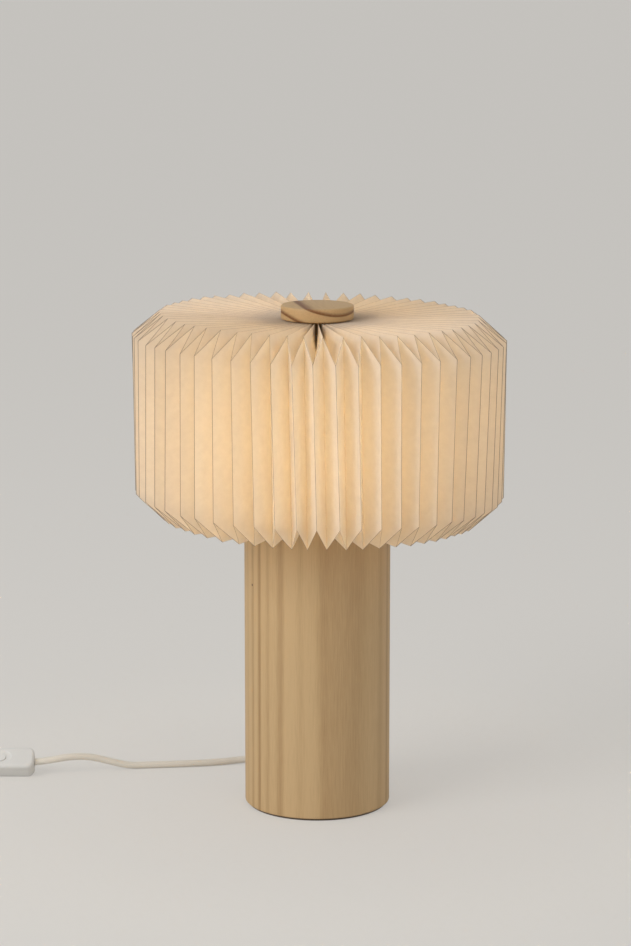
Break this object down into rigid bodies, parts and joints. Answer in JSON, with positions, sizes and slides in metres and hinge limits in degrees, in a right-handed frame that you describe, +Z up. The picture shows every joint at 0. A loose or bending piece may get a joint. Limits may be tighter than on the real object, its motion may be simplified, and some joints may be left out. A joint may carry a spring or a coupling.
{
  "type": "table lamp",
  "caption": "Table lamp with a drum shade of accordion-pleated paper on a round turned pine column, with a pine knob on top and a braided cord with an inline switch and a plug.",
  "frame": {"origin": "on the table, at the axis of the column", "axes": "+Z up along the column's axis; -Y towards the front; the cord leaves the back and runs towards -X"},
  "size_m": [0.665, 0.35, 0.4796],
  "materials": {
    "pine": "oiled, fine straight grain",
    "lid_board": "raw sanded",
    "steel_plate": "matt black powder coat",
    "felt": "pressed wool felt",
    "cast_weight": "as cast",
    "zinc_steel": "zinc plated",
    "harp_steel": "white enamel",
    "holder_plastic": "heat-resistant moulded",
    "holder_ceramic": "unglazed",
    "brass": "turned",
    "bulb_glass": "thin blown glass",
    "bulb_cap_metal": "rolled thread",
    "bulb_insulator": "glassy",
    "filament": "coated LED strips, lit",
    "shade_paper": "matt translucent, sharply creased",
    "thread": "waxed cotton",
    "clear_plastic": "soft moulded",
    "clamp_plastic": "moulded",
    "braided_cord": "fine cotton braid",
    "white_plastic": "satin moulded",
    "pin_metal": "nickel plated"
  },
  "bodies": {
    "base": {"column": "pine", "column_lid": "lid_board", "bottom_plate": "steel_plate", "felt_ring": "felt", "ballast": "cast_weight", "plate_screws": "zinc_steel", "ballast_screws": "zinc_steel", "cord_gland": "clear_plastic", "cord_clamp": "clamp_plastic", "clamp_screws": "zinc_steel", "inner_lead": "braided_cord", "threaded_tube": "zinc_steel", "tube_washer": "zinc_steel", "lower_nut": "zinc_steel", "upper_nut": "zinc_steel", "holder_cap": "holder_plastic", "holder_body": "holder_plastic", "holder_core": "holder_ceramic", "thread_sleeve": "brass", "centre_contact": "brass", "harp_saddle": "zinc_steel", "harp_ferrules": "harp_steel", "harp_wire": "harp_steel", "harp_stud": "harp_steel", "shade_seat": "harp_steel", "cord_to_switch": "braided_cord", "switch_cover": "white_plastic", "switch_base": "white_plastic", "switch_block": "clamp_plastic", "switch_screws": "zinc_steel", "switch_leads": "braided_cord", "cord_to_coil": "braided_cord", "cord_coil": "braided_cord", "cord_to_plug": "braided_cord", "plug_boot": "white_plastic", "plug_body": "white_plastic", "plug_pins": "pin_metal"},
    "shade": {"pleated_strip_1": "shade_paper", "pleated_strip_2": "shade_paper", "pleated_strip_3": "shade_paper", "pleated_strip_4": "shade_paper", "shade_spool": "lid_board", "gathering_thread": "thread"},
    "knob": {"knob_disc": "pine", "knob_insert": "brass"},
    "bulb": {"bulb_glass": "bulb_glass", "bulb_cap": "bulb_cap_metal", "bulb_insulator": "bulb_insulator", "bulb_tip": "bulb_cap_metal", "bulb_stem": "bulb_insulator", "filaments": "filament"},
    "button": {"switch_button": "white_plastic"}
  },
  "joints": [
    {"name": "shade_lift", "type": "slide", "parent": "base", "child": "shade", "axis": [0, 0, 1], "range_m": [0, 0.205]},
    {"name": "knob_spin", "type": "hinge", "parent": "shade", "child": "knob", "pos_m": [0, 0, 0.473], "axis": [0, 0, 1], "continuous": true},
    {"name": "bulb_spin", "type": "hinge", "parent": "base", "child": "bulb", "pos_m": [0, 0, 0.34], "axis": [0, 0, 1], "continuous": true},
    {"name": "switch_press", "type": "slide", "parent": "base", "child": "button", "axis": [0, 0.5736, -0.8192], "range_m": [0, 0.0015], "stiffness_N_per_m": 400, "springref_m": -0.0008}
  ]
}
